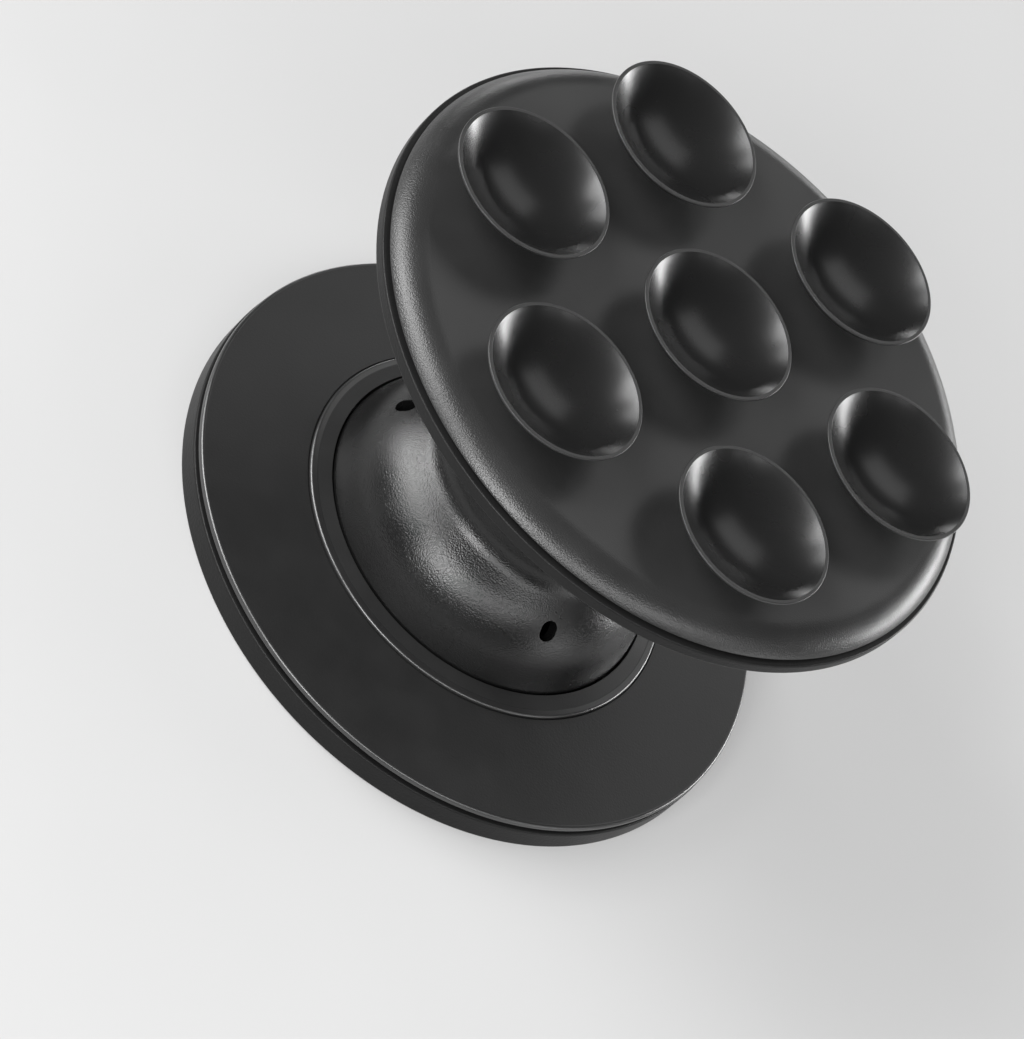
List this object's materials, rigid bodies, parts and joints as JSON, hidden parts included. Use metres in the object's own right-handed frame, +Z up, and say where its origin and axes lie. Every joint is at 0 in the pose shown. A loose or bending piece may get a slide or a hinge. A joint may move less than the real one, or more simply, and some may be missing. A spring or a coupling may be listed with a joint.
{
  "type": "phone grip",
  "caption": "Round magnetic base and a disc with suction cups, joined by a collapsing silicone bellows; a grip for the back of a phone.",
  "frame": {"origin": "centre of the base's underside, the face that meets the phone", "axes": "+Z up along the grip's axis towards the suction cups; +X through one outer cup"},
  "size_m": [0.0572, 0.0572, 0.0389],
  "materials": {
    "shell_plastic": "fine matte",
    "cover_plastic": "fine matte",
    "soft_face": "soft matte",
    "bellows_silicone": "satin, fine grain",
    "pad_silicone": "matte face with glossy bowls",
    "magnet_metal": "nickel plated",
    "ring_steel": "satin",
    "fastener_steel": "satin"
  },
  "bodies": {
    "base": {"base_shell": "shell_plastic", "phone_face": "soft_face", "steel_ring": "ring_steel", "base_cover": "cover_plastic", "collar": "cover_plastic", "bellows": "bellows_silicone", "magnet_1": "magnet_metal", "magnet_2": "magnet_metal", "magnet_3": "magnet_metal", "magnet_4": "magnet_metal", "magnet_5": "magnet_metal", "magnet_6": "magnet_metal", "magnet_7": "magnet_metal", "magnet_8": "magnet_metal", "magnet_9": "magnet_metal", "magnet_10": "magnet_metal", "magnet_11": "magnet_metal", "magnet_12": "magnet_metal", "magnet_13": "magnet_metal", "magnet_14": "magnet_metal", "magnet_15": "magnet_metal", "magnet_16": "magnet_metal"},
    "disc": {"top_plate": "shell_plastic", "suction_pad": "pad_silicone", "washer": "fastener_steel", "screw": "fastener_steel"}
  },
  "joints": [
    {"name": "collapse", "type": "slide", "parent": "base", "child": "disc", "axis": [0, 0, 1], "range_m": [-0.022, 0], "deforming": ["bellows"]}
  ]
}
